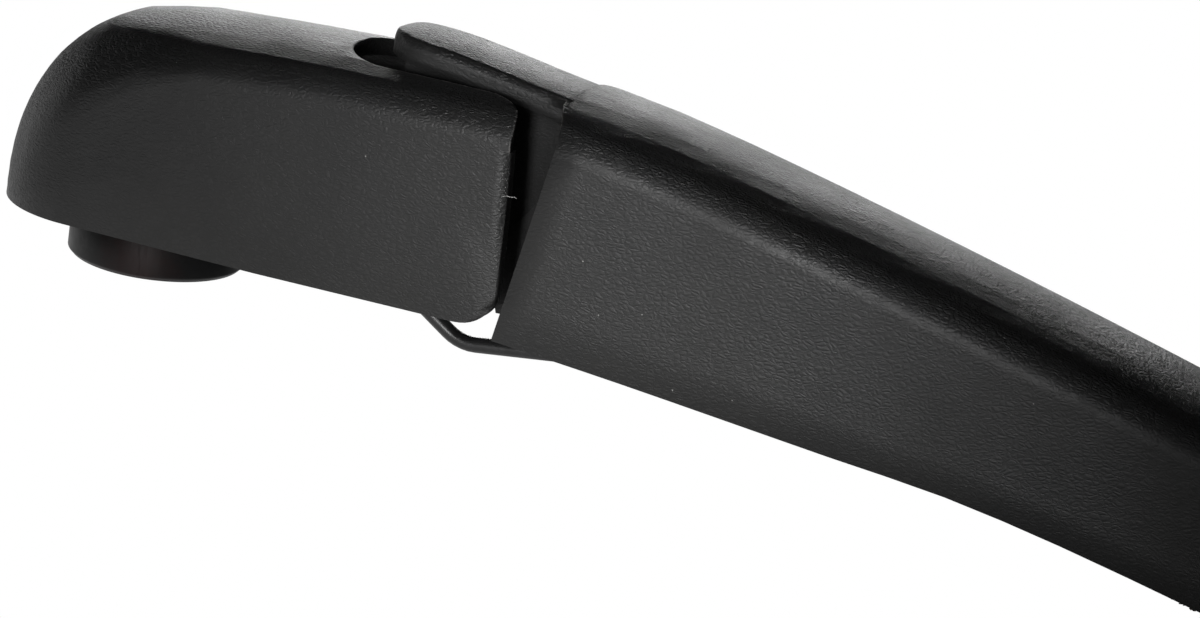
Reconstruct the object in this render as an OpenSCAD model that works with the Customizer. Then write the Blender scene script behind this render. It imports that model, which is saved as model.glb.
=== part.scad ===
// Rear window wiper arm: a cast head on the wiper spindle, a hinged moulded beam pulled down by a
// spring, and a moulded cover that hides the spindle nut. Millimetres, +Z up the spindle,
// +X towards the tip, origin on the spindle axis at the underside of the boss.

/* [Head cover] */
// Half width of the cover at its rim
cover_half = 12.3; // [11:0.1:14]
// Wall of the cover
cover_wall = 1.9; // [1.4:0.1:2.2]
// Height of the cover's rim above the underside of the boss
cover_rim_z = 5.0; // [4.6:0.1:7]
// Height of the cover's roof over the spindle
cover_roof_z = 28.7; // [27:0.1:31]
// Centre of the round nose in plan
cover_nose_x = -5.7; // [-9:0.1:-4]
// Rear end of the cover
cover_rear_x = 44.6; // [43:0.1:45]
// Radius of the long edge between side and roof
cover_edge_r = 3.8; // [2.5:0.1:5]
// Radius of the lower rear corner, seen from the side
cover_heel_r = 4; // [2:0.5:8]
// Half width of the notch in the roof
notch_half = 6.8; // [6.4:0.1:7]
// Front end of the notch
notch_x = 21.4; // [21:0.1:21.5]
// Radius of the notch's front corners
notch_r = 5.8; // [4:0.1:6.4]
// Radius of the roof's corners where the notch meets the rear end
notch_flare_r = 5.4; // [2:0.1:5.4]

/* [Arm beam] */
// Length from the spindle axis to the tip
arm_reach = 262; // [200:1:320]
// Step from the cover's side in to the beam's side at the shoulder
side_step = 0.1; // [0:0.05:0.4]
// Half width of the beam at its tip
arm_tip_half = 7.2; // [6.8:0.1:9]
// Wall of the beam
arm_wall = 2.2; // [1.6:0.1:2.8]
// Height of the beam at its tip
arm_tip_h = 12; // [11:0.5:16]
// Radius of the long edge between side and top
arm_edge_r = 3.5; // [2.5:0.1:4.5]
// Half width of the tongue that enters the notch
tongue_half = 5.4; // [5:0.1:5.5]
// Front end of the tongue
tongue_x = 25.6; // [25.5:0.1:26]
// Thickness of the tongue's roof over the lug
tongue_roof = 3.2; // [2.8:0.1:3.6]

/* [Hinge] */
// Distance of the hinge pin behind the spindle axis
hinge_x = 33.5; // [33:0.1:34.5]
// Height of the hinge pin
hinge_z = 24.5; // [24:0.1:25]
// Diameter of the hinge pin
pin_d = 3.6; // [3:0.1:4]
// Radius of the head's lug
lug_r = 4.2; // [3.8:0.1:4.4]
// Half thickness of the head's lug
lug_half = 2.6; // [2:0.1:2.7]
// Outer diameter of the bush in the lug
bush_d = 5.4; // [5:0.1:5.8]

/* [Spindle seat] */
// Diameter of the boss
boss_d = 20; // [18:0.5:20]
// Diameter of the straight lead-in of the spindle bore
lead_d = 10.4; // [9:0.1:12]
// Depth of the straight lead-in
lead_h = 3; // [2:0.5:4]
// Clearance diameter for the spindle's thread
thread_d = 8.4; // [6.4:0.1:8.6]
// Height of the seat for the spindle nut
nut_seat_z = 13; // [11:0.5:14]

/* [Spring and link] */
// Distance of the link pin behind the spindle axis
link_x = 25.5; // [24:0.5:26.5]
// Height of the link pin
link_z = 10.3; // [9.5:0.1:10.8]
// Diameter of the link pin
link_pin_d = 3.6; // [3:0.1:4]
// Diameter of the link's wire
link_wire_d = 1.8; // [1.4:0.1:2]
// Distance of the link's bend behind the spindle axis
bend_x = 37.6; // [36:0.1:39]
// Height of the link's bend
bend_z = -1.2; // [-2.5:0.1:0]
// Distance of the spring's front eye behind the spindle axis
eye_x = 66; // [64:0.5:70]
// Height of the spring's axis
spring_z = 5.2; // [4.4:0.1:6]
// Outer diameter of the spring
spring_d = 9; // [7:0.1:10]
// Diameter of the spring's wire
spring_wire_d = 1.4; // [1:0.1:1.6]
// Number of turns
spring_turns = 22; // [14:1:26]
// Gap between two turns at rest
turn_gap = 0.2; // [0.1:0.05:0.4]
// Distance of the pin that holds the spring's rear eye
anchor_x = 117; // [115:0.5:122]
// Diameter of the pin that holds the spring's rear eye
anchor_d = 3.6; // [3:0.1:4]

/* [Blade mount] */
// Distance of the blade's cross bore from the tip
blade_inset = 11; // [9:0.5:14]
// Diameter of the blade's cross bore
blade_bore_d = 4; // [3:0.1:5]
// Clear width between the two ears
blade_gap = 8; // [7:0.1:8.6]

/* [Fits] */
// Radial clearance of a turning pin
run_gap = 0.05; // [0.03:0.01:0.08]
// Clearance between faces that pass each other
side_gap = 0.3; // [0.25:0.05:0.4]

/* [Hidden] */
plastic_color = [0.15, 0.155, 0.16];
casting_color = [0.11, 0.11, 0.115];
steel_color = [0.62, 0.62, 0.6];
wire_color = [0.2, 0.2, 0.2];
bronze_color = [0.66, 0.5, 0.28];
crown_k = 0.0141;
arm_half = cover_half - side_step;
cover_front_x = cover_nose_x - cover_half;
// Steps round an edge, across a crown and down a side of a lofted section
edge_steps = 6;
crown_steps = 3;
side_steps = 2;
nose_steps = 10;

function mix(a, b, t) = a + (b - a) * t;
function clamp01(t) = min(1, max(0, t));
function smooth(t) = let (c = clamp01(t)) c * c * (3 - 2 * c);

// Smooth curve through points [x, y] whose x rises, read at x
function seg(pts, x, i = 0) = (i >= len(pts) - 2 || x < pts[i + 1][0]) ? i : seg(pts, x, i + 1);
function slope_at(pts, i) = let (a = max(0, i - 1), b = min(len(pts) - 1, i + 1))
    (pts[b][1] - pts[a][1]) / (pts[b][0] - pts[a][0]);
function curve(pts, x) = let (
    i = seg(pts, x),
    p = pts[i],
    q = pts[i + 1],
    w = q[0] - p[0],
    t = (x - p[0]) / w,
    m = slope_at(pts, i) * w,
    n = slope_at(pts, i + 1) * w)
    (2 * pow(t, 3) - 3 * t * t + 1) * p[1] + (pow(t, 3) - 2 * t * t + t) * m
    + (3 * t * t - 2 * pow(t, 3)) * q[1] + (pow(t, 3) - t * t) * n;

// Half section of a crowned shell, from the foot of its side to the top of its crown:
// w half width, z0 foot, z1 top of the crown, rx and rz the edge's half axes
function half_section(w, z0, z1, rx, rz) = let (
    m = 2 * crown_k * max(0, w - rx),
    a1 = atan2(rz, m * rx),
    ye = w - rx + rx * cos(a1),
    zc = z1 - crown_k * ye * ye - rz * sin(a1))
    concat(
        [for (i = [0:side_steps - 1]) [w, mix(z0, zc, i / side_steps)]],
        [for (i = [0:edge_steps]) let (a = a1 * i / edge_steps) [w - rx + rx * cos(a), zc + rz * sin(a)]],
        [for (i = [1:crown_steps]) let (y = ye * (1 - i / crown_steps)) [y, z1 - crown_k * y * y]]);
function section(w, z0, z1, rx, rz) = let (h = half_section(w, z0, z1, rx, rz), n = len(h))
    concat(h, [for (i = [n - 2:-1:0]) [-h[i][0], h[i][1]]]);

// Faces between rings of m points that stay open along their feet
function skin(n, m, base, flip) = [for (i = [0:n - 2], j = [0:m - 2]) let (
    a = base + i * m + j, b = a + 1, c = a + m + 1, d = a + m) flip ? [d, c, b, a] : [a, b, c, d]];
// A flat end across a ring of m points, an odd number, laid in bands from its foot to its top
function cap(m, base, flip) = [for (j = [0:(m - 3) / 2]) let (
    a = base + j, b = a + 1, c = base + m - 2 - j, d = c + 1, f = b == c ? [a, b, d] : [a, b, c, d])
    flip ? [for (i = [len(f) - 1:-1:0]) f[i]] : f];
// A closed shell: outer and inner rings joined along both feet, with both ends given as
// "rim", which joins the two skins, or "cap", which closes each skin by itself
module shell(outer, inner, front, rear) {
    n = len(outer);
    m = len(outer[0]);
    k = n * m;
    last = (n - 1) * m;
    foot = [for (i = [0:n - 2]) each [
        [k + i * m, k + i * m + m, i * m + m, i * m],
        [i * m + m - 1, i * m + 2 * m - 1, k + i * m + 2 * m - 1, k + i * m + m - 1]]];
    front_faces = front == "rim"
        ? [for (j = [0:m - 2]) [j, j + 1, k + j + 1, k + j]]
        : concat(cap(m, 0, false), cap(m, k, true), [[m - 1, k + m - 1, k, 0]]);
    rear_faces = rear == "rim"
        ? [for (j = [0:m - 2]) [k + last + j, k + last + j + 1, last + j + 1, last + j]]
        : concat(cap(m, last, true), cap(m, k + last, false),
            [[k + last, k + last + m - 1, last + m - 1, last]]);
    polyhedron(
        points = concat([for (r = outer) each r], [for (r = inner) each r]),
        faces = concat(skin(n, m, 0, true), skin(n, m, k, false), foot, front_faces, rear_faces),
        convexity = 6);
}
// A closed solid through rings of equal length, with a flat foot and flat ends
module loft(rings) {
    n = len(rings);
    m = len(rings[0]);
    last = (n - 1) * m;
    polyhedron(
        points = [for (r = rings) each r],
        faces = concat(skin(n, m, 0, true),
            [for (i = [0:n - 2]) [i * m + m - 1, i * m + 2 * m - 1, i * m + m, i * m]],
            cap(m, 0, false), cap(m, last, true)),
        convexity = 4);
}
// A round wire swept along points; its side direction is carried from one point to the next
function unit(v) = v / norm(v);
function tangent(p, i) = unit(p[min(len(p) - 1, i + 1)] - p[max(0, i - 1)]);
function carry(v, t) = unit(v - t * (v * t));
module wire(p, d, sides) {
    r = d / 2;
    n = len(p);
    sides_dir = [for (i = 0, v = carry([0.3, 0.2, 1], tangent(p, 0)); i < n;
        v = carry(v, tangent(p, min(i + 1, n - 1))), i = i + 1) v];
    rings = [for (i = [0:n - 1]) let (s = sides_dir[i], u = cross(s, tangent(p, i)))
        [for (j = [0:sides - 1]) p[i] + r * (s * cos(360 * j / sides) + u * sin(360 * j / sides))]];
    polyhedron(
        points = [for (g = rings) each g],
        faces = concat(
            [for (i = [0:n - 2], j = [0:sides - 1]) let (a = i * sides, b = (j + 1) % sides)
                [a + j, a + b, a + sides + b, a + sides + j]],
            [[for (j = [0:sides - 1]) sides - 1 - j], [for (j = [0:sides - 1]) (n - 1) * sides + j]]),
        convexity = 6);
}
// A plate drawn in X and Z, from y0 to y1
module plate(y0, y1) {
    translate([0, y1, 0]) rotate([90, 0, 0]) linear_extrude(y1 - y0) children();
}
// A cylinder along Y, from y0 to y1
module cross_rod(x, z, d, y0, y1) {
    translate([x, y1, z]) rotate([90, 0, 0]) cylinder(d = d, h = y1 - y0, $fn = 48);
}

// Cover: nose angles, stations and the three curves of its form
nose_angles = [for (i = [0:nose_steps]) mix(6, 90, i / nose_steps)];
heel_angles = [0, 18, 36, 54, 72, 90];
body_x = [for (i = [1:6]) mix(cover_nose_x, cover_rear_x - cover_heel_r, i / 7)];
heel_x = [for (a = heel_angles) cover_rear_x - cover_heel_r * (1 - sin(a))];
front_len = -cover_front_x;
flare_trim = 0.1;
flare_x = cover_rear_x - flare_trim - notch_flare_r;
front_z = cover_rim_z + 2.7;
roof_line = [[0, cover_roof_z], [12, cover_roof_z + 0.7], [24, cover_roof_z + 1.15],
    [cover_rear_x, cover_roof_z + 1.1]];
function cover_top(x, t) = x < 0
    ? front_z + (cover_roof_z - t - front_z) * pow(1 - pow(min(1, -x / (front_len - t)), 2), 0.54)
    : curve(roof_line, x) - t;
function cover_foot(x) = x <= cover_rear_x - cover_heel_r ? cover_rim_z
    : cover_rim_z + cover_heel_r - sqrt(max(0, pow(cover_heel_r, 2)
        - pow(x - cover_rear_x + cover_heel_r, 2)));
function cover_ring(x, t, w) = let (
    q = smooth((10 - x) / 27),
    z0 = cover_foot(x),
    z1 = cover_top(x, t),
    rx = mix(cover_edge_r - 0.5 * t, w, q),
    rz = min(mix(cover_edge_r - 0.5 * t, 14, q), z1 - z0 - 1.5))
    [for (p = section(w, z0, z1, min(rx, 0.85 * w), rz)) [x, p[0], p[1]]];
function cover_skin(t) = concat(
    [for (a = nose_angles) cover_ring(cover_nose_x - (cover_half - t) * cos(a), t, (cover_half - t) * sin(a))],
    [for (x = concat(body_x, heel_x)) cover_ring(x, t, cover_half - t)]);

// Arm: top line, foot line and half width from the shoulder to the tip
shoulder_top_x = 50.2;
shoulder_foot_x = 45.4;
arm_top = [[tongue_x, 32.9], [34, 32.2], [45, 30.4], [58.8, 28.3], [84.8, 22.5], [112.4, 15.6],
    [150, 5.6], [arm_reach, -23.0]];
shoulder_bow = 2.8;
arm_tip_drop = 2.8;
arm_foot = [[shoulder_foot_x, 3.9], [59, 2.8], [80.8, 0.7], [100.6, -1.3], [124.9, -6.2], [150, -11.9],
    [arm_reach - arm_tip_drop, -23.0 - arm_tip_h]];
function arm_w(x) = curve([[shoulder_foot_x, arm_half], [120, arm_half - 0.8], [180, 9.6],
    [arm_reach, arm_tip_half]], x);
arm_u = [0, 0.03, 0.07, 0.12, 0.18, 0.24, 0.3, 0.37, 0.44, 0.52, 0.6, 0.68, 0.76, 0.84, 0.9, 0.95, 1];
function arm_ring(u, t, tip) = let (
    xt = mix(shoulder_top_x, arm_reach - tip, u),
    xb = mix(shoulder_foot_x, arm_reach - arm_tip_drop - tip, u),
    zb = curve(arm_foot, xb),
    zt = curve(arm_top, xt),
    h = zt - zb,
    w = arm_w(xt) - t,
    r = arm_edge_r - 0.6 * t,
    bow = shoulder_bow * clamp01(1 - u / 0.05))
    [for (p = section(w, 0, h - t, r, r)) let (
        x = mix(xb, xt, p[1] / h),
        back = bow * clamp01((w - abs(p[0])) / (arm_half - tongue_half)))
        [x - back, p[0], zb + p[1] + curve(arm_top, x - back) - curve(arm_top, x)]];

// Tongue: rounded in plan at its front end, dipping under the beam's skin behind the shoulder
tongue_t = 2.8;
tongue_edge = 1.2;
tongue_end_x = shoulder_top_x;
tongue_cover = 0.4;
tongue_lift = 0.03;
tongue_dive = 0.5;
tongue_stations = concat(
    [for (a = [13, 24, 37, 52, 70, 90]) tongue_x + tongue_half * (1 - cos(a))],
    [34, 38.5, 43, shoulder_top_x - shoulder_bow + tongue_cover, tongue_end_x]);
function tongue_w(x) = x >= tongue_x + tongue_half ? tongue_half
    : sqrt(pow(tongue_half, 2) - pow(tongue_x + tongue_half - x, 2));
function tongue_top(x) = curve(arm_top, x) + tongue_lift - 0.7 * pow(clamp01((tongue_x + 2 - x) / 2), 2)
    - tongue_dive * clamp01((x - tongue_end_x + shoulder_bow - tongue_cover) / (shoulder_bow - tongue_cover));
function tongue_bottom(x) = curve(arm_top, x) - tongue_t;
tongue_rings = [for (x = tongue_stations) let (w = tongue_w(x), r = min(tongue_edge, 0.8 * w))
    [for (p = section(w, tongue_bottom(x), tongue_top(x), r, r)) [x, p[0], p[1]]]];

blade_x = arm_reach - blade_inset;
blade_z = curve(arm_top, blade_x) - arm_tip_h / 2 - 0.5;
ear_pad = 5.6 - blade_gap / 2;
rib_first = 138;
rib_pitch = 21.5;
rib_end_gap = 27;
rib_x = [for (x = [rib_first:rib_pitch:blade_x - rib_end_gap]) x];
rib_t = 1.6;
rib_lift = 5;
cheek_in = lug_half + side_gap;
cheek_face = tongue_half - 0.9;
cheek_r = 5;
cheek_out = tongue_half - 0.2;
ear_in = notch_half + 0.2;
ear_out = ear_in + 1.8;
sweep_r = 14;
slot_front = hinge_x - lug_r - 1.1;
slot_roof = curve(arm_top, hinge_x) - tongue_roof;
pin_head = 0.8;
pin_head_d = 5;
spot_depth = 0.1;
pocket_depth = 1.7;
ear_bore = pin_d + 2 * run_gap;

// Link: a hook round the link pin, a bend under the hinge and an eye for the spring
hook_r = link_pin_d / 2 + link_wire_d / 2 + 0.25;
eye_r = link_wire_d / 2 + spring_wire_d / 2 + 1;
bend_r = 4.9;
function arc(c, r, a, b, n) = [for (i = [0:n]) let (t = mix(a, b, i / n)) [c[0] + r * cos(t), c[1] + r * sin(t)]];
function to3(p, y) = [for (q = p) [q[0], y, q[1]]];
link_pin_at = [link_x, link_z];
bend_at = [bend_x, bend_z];
eye_at = [eye_x, spring_z];
leg_a = atan2(link_z - bend_z, link_x - bend_x) + asin(hook_r / norm(link_pin_at - bend_at));
leg_b = atan2(spring_z - bend_z, eye_x - bend_x) - asin(eye_r / norm(eye_at - bend_at));
bend_cut = bend_r / tan((leg_a - leg_b) / 2);
bend_mid = bend_at + bend_r / sin((leg_a - leg_b) / 2)
    * [cos((leg_a + leg_b) / 2), sin((leg_a + leg_b) / 2)];
link_path = to3(concat(
    arc(link_pin_at, hook_r, leg_a - 120, leg_a + 90, 12),
    arc(bend_mid, bend_r, leg_a + 90, leg_b + 270, 5),
    arc(eye_at, eye_r, leg_b - 90, leg_b + 170, 12)), 0);

// Spring: a flat hook through the link's eye, close turns, and a hook round the anchor pin
coil_r = (spring_d - spring_wire_d) / 2;
coil_len = (spring_wire_d + turn_gap) * spring_turns;
coil_x = anchor_x - 7 - coil_len;
front_hook_r = 3;
rear_hook_r = anchor_d / 2 + spring_wire_d / 2 + 0.1;
spring_path = concat(
    [for (p = arc([eye_x + front_hook_r, 0], front_hook_r, 280, 90, 9)) [p[0], p[1], spring_z]],
    [[coil_x - 3, coil_r - 0.3, spring_z], [coil_x - 1, coil_r, spring_z + 0.2]],
    [for (i = [0:spring_turns * 12 - 3]) [coil_x + coil_len * i / (spring_turns * 12),
        coil_r * cos(30 * i + 12), spring_z + coil_r * sin(30 * i + 12)]],
    to3([[anchor_x - 6.4, spring_z - coil_r + 0.2]], 0),
    to3(arc([anchor_x, spring_z], rear_hook_r, 250, 480, 9), 0));

// Head casting: boss and hub turned about the spindle, two cheeks round the link, one lug
hub_r = 8.8;
hub_top = 15;
plate_in = link_wire_d / 2 + 0.5;
plate_out = 4.4;
plate_r = 4.6;
web_top = 16.2;
nut_recess_r = 7.2;
module head_casting() {
    color(casting_color)
    difference() {
        union() {
            rotate_extrude($fn = 96)
                polygon([[0, 0], [boss_d / 2 - 0.5, 0], [boss_d / 2, 0.5], [boss_d / 2, 4.4],
                    [hub_r, 6], [hub_r, hub_top - 0.8], [hub_r - 0.8, hub_top], [0, hub_top]]);
            plate(-plate_out, plate_out) difference() {
                union() {
                    polygon([[2, 6], [link_x - 1, link_z - plate_r], [37.4, 12.6], [37.4, web_top],
                        [35.5, web_top + 0.7], [22, web_top + 0.3], [13, hub_top - 1.2], [2, hub_top - 1.2]]);
                    translate([link_x, link_z]) circle(r = plate_r, $fn = 64);
                }
                translate([15.2, 10.2]) circle(r = 2.6, $fn = 48);
            }
            plate(-lug_half, lug_half) {
                polygon([[29, web_top], [30.7, 18.5], [30.7, 21.5], [hinge_x, hinge_z],
                    [hinge_x + 4, hinge_z - 1.2], [37.6, 19], [37.4, web_top]]);
                translate([hinge_x, hinge_z]) circle(r = lug_r, $fn = 64);
            }
        }
        translate([0, 0, -1]) cylinder(d = lead_d, h = lead_h + 1, $fn = 96);
        rotate_extrude($fn = 96)
            polygon([[0, lead_h - 0.01], [lead_d / 2, lead_h - 0.01], [thread_d / 2, nut_seat_z - 2],
                [thread_d / 2, hub_top + 1], [0, hub_top + 1]]);
        translate([0, 0, nut_seat_z]) cylinder(r = nut_recess_r, h = hub_top, $fn = 96);
        plate(-plate_in, plate_in) {
            translate([link_x, link_z]) circle(r = 5.3, $fn = 64);
            translate([link_x, -2]) square([20, web_top + 1]);
        }
        cross_rod(link_x, link_z, link_pin_d, -10, 10);
        cross_rod(hinge_x, hinge_z, bush_d, -10, 10);
    }
}
module hinge_bush() {
    color(bronze_color)
    difference() {
        cross_rod(hinge_x, hinge_z, bush_d, -lug_half, lug_half);
        cross_rod(hinge_x, hinge_z, pin_d, -10, 10);
    }
}
module link_pin() {
    color(steel_color) cross_rod(link_x, link_z, link_pin_d, -plate_out, plate_out);
}
module hinge_pin() {
    color(steel_color)
    union() {
        cross_rod(hinge_x, hinge_z, pin_d, -ear_out - side_gap / 2, ear_out + side_gap + 0.9);
        cross_rod(hinge_x, hinge_z, pin_head_d, -ear_out - side_gap / 2 - pin_head, -ear_out - side_gap / 2);
    }
}
module pin_clip() {
    color(steel_color)
    difference() {
        cross_rod(hinge_x, hinge_z, pin_head_d, ear_out + side_gap / 2, ear_out + side_gap / 2 + 0.6);
        cross_rod(hinge_x, hinge_z, pin_d, 0, 20);
    }
}
module head_cover() {
    color(plastic_color)
    difference() {
        union() {
            shell(cover_skin(0), cover_skin(cover_wall), "cap", "rim");
            for (y = [-ear_out, ear_in])
                plate(y, y + ear_out - ear_in) {
                    translate([hinge_x, hinge_z]) circle(r = 3.8, $fn = 48);
                    translate([hinge_x - 3.8, hinge_z]) square([7.6, 4.2]);
                }
        }
        translate([0, 0, hinge_z]) linear_extrude(20) {
            translate([notch_x, notch_r - notch_half]) square([notch_r + 1, 2 * (notch_half - notch_r)]);
            translate([notch_x + notch_r, -notch_half]) square([cover_rear_x, 2 * notch_half]);
            for (s = [-1, 1])
                translate([notch_x + notch_r, s * (notch_half - notch_r)]) circle(r = notch_r, $fn = 96);
            for (s = [-1, 1]) scale([1, s]) difference() {
                polygon([[flare_x, notch_half - 1], [cover_rear_x + 4, notch_half - 1],
                    [cover_rear_x + 4, cover_half], [cover_rear_x, cover_half],
                    [flare_x + notch_flare_r, notch_half + notch_flare_r], [flare_x, notch_half + notch_flare_r]]);
                translate([flare_x, notch_half + notch_flare_r]) circle(r = notch_flare_r, $fn = 64);
            }
        }
        cross_rod(hinge_x, hinge_z, ear_bore, -ear_out - 0.2, ear_out + 0.2);
        for (y = [-ear_out - pocket_depth, ear_out - spot_depth])
            cross_rod(hinge_x, hinge_z, pin_head_d + 1, y, y + pocket_depth + spot_depth);
    }
}
module cheek_side() {
    difference() {
        polygon([[41.4, 5.6], [shoulder_foot_x + 2, 6.4], [64, 5], [64, 22],
            [53, tongue_bottom(53) - 0.4], [46.4, tongue_bottom(46.4) - 0.4]]);
        translate([hinge_x, hinge_z]) circle(r = sweep_r, $fn = 96);
    }
}
module cross_rib(x) {
    w = arm_w(x) - arm_wall / 2;
    z1 = curve(arm_top, x) - arm_wall / 2 - 0.8;
    z0 = curve(arm_foot, x) + rib_lift;
    translate([x, 0, 0]) rotate([90, 0, 90]) linear_extrude(rib_t)
        polygon([[-w, z0], [w, z0], [w, z1 - arm_edge_r], [w - arm_edge_r, z1], [arm_edge_r - w, z1],
            [-w, z1 - arm_edge_r]]);
}
module anchor_rib() {
    polygon([[anchor_x - 9, curve(arm_top, anchor_x - 9) - arm_wall / 2],
        [anchor_x - 4, spring_z - 1], [anchor_x - 2, spring_z - anchor_d / 2 - 1.6],
        [anchor_x + 2, spring_z - anchor_d / 2 - 1.6], [anchor_x + 4, spring_z - 1],
        [anchor_x + 7, curve(arm_top, anchor_x + 7) - arm_wall / 2]]);
}
module arm_beam() {
    color(plastic_color)
    difference() {
        union() {
            shell([for (u = arm_u) arm_ring(u, 0, 0)], [for (u = arm_u) arm_ring(u, arm_wall, arm_wall)],
                "rim", "cap");
            loft(tongue_rings);
            for (y = [-cheek_face, cheek_in])
                plate(y, y + cheek_face - cheek_in) {
                    translate([hinge_x, hinge_z]) circle(r = cheek_r, $fn = 64);
                    polygon([[hinge_x - cheek_r, hinge_z], [hinge_x - cheek_r, 30.4],
                        [hinge_x + 10, 29.4], [53, 27], [60, 24.5], [60, 5.4], [42.8, 4.6],
                        [hinge_x + 4.5, hinge_z - 4.8]]);
                }
            for (y = [-cheek_out, cheek_face - 0.4])
                plate(y, y + cheek_out - cheek_face + 0.4) cheek_side();
            for (s = [-1, 1]) {
                plate(s * 5.1 - 0.9, s * 5.1 + 0.9) anchor_rib();
                cross_rod(blade_x, blade_z, 9, s * mix(blade_gap / 2, 5.6, 0.5) - ear_pad / 2,
                    s * mix(blade_gap / 2, 5.6, 0.5) + ear_pad / 2);
            }
            for (x = rib_x) cross_rib(x);
        }
        plate(-cheek_in, cheek_in) polygon([[slot_front, 0], [slot_front, slot_roof],
            [46, slot_roof - 0.7], [64, 20], [64, 0]]);
        cross_rod(hinge_x, hinge_z, ear_bore, -10, 10);
        cross_rod(anchor_x, spring_z, anchor_d, -7, 7);
        cross_rod(blade_x, blade_z, blade_bore_d, -20, 20);
    }
}
module spring_anchor_pin() {
    color(steel_color) cross_rod(anchor_x, spring_z, anchor_d, -6, 6);
}
module tension_spring() {
    color(wire_color) wire(spring_path, spring_wire_d, 6);
}
module hook_link() {
    color(wire_color) wire(link_path, link_wire_d, 12);
}

head_casting();
hinge_bush();
link_pin();
head_cover();
arm_beam();
hinge_pin();
pin_clip();
spring_anchor_pin();
tension_spring();
hook_link();
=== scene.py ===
"""Looks of a moulded rear wiper arm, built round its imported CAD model."""
import logging
import math
import random
from dataclasses import dataclass, field
from enum import Enum
from typing import Sequence

import bmesh
import bpy
from mathutils import Matrix, Vector


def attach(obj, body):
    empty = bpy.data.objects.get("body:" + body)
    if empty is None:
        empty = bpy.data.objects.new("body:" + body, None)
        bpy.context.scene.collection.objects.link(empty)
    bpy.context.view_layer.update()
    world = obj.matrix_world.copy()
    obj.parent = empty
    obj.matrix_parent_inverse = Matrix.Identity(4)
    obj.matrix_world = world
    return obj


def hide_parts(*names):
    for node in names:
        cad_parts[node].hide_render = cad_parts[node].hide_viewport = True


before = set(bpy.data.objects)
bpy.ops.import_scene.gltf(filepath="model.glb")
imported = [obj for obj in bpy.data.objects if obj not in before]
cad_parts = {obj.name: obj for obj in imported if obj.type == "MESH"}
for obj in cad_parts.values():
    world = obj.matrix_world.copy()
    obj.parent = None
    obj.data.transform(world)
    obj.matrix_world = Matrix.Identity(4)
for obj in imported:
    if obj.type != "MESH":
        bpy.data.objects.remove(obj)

LOG = logging.getLogger("wiper_arm")
MM = 0.001
GAP_SAMPLES = 6                    # rays that test how open a surface lies
EDGE_SAMPLES = 4                   # rays that test how near an edge is
MERGE_GAP = 0.002 * MM             # corners nearer than this are one corner
FLAT_BEND = 0.004                  # radians below which two faces lie in one plane
CORNER_TURN = math.radians(32)     # a turn past which a sharp edge ends in a corner


class Body(Enum):
    """Moving bodies of the arm."""

    HEAD = "head"
    COVER = "cover"
    ARM = "arm"
    LINK = "link"


class Slot(Enum):
    """Material slots of the record."""

    CASTING = "casting"
    COVER = "cover_plastic"
    ARM = "arm_plastic"
    SPRING = "spring_steel"
    WIRE = "wire"


def mm(x: float, y: float, z: float) -> Vector:
    """Turns millimetres into a vector in metres."""
    return Vector((x, y, z)) * MM


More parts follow.
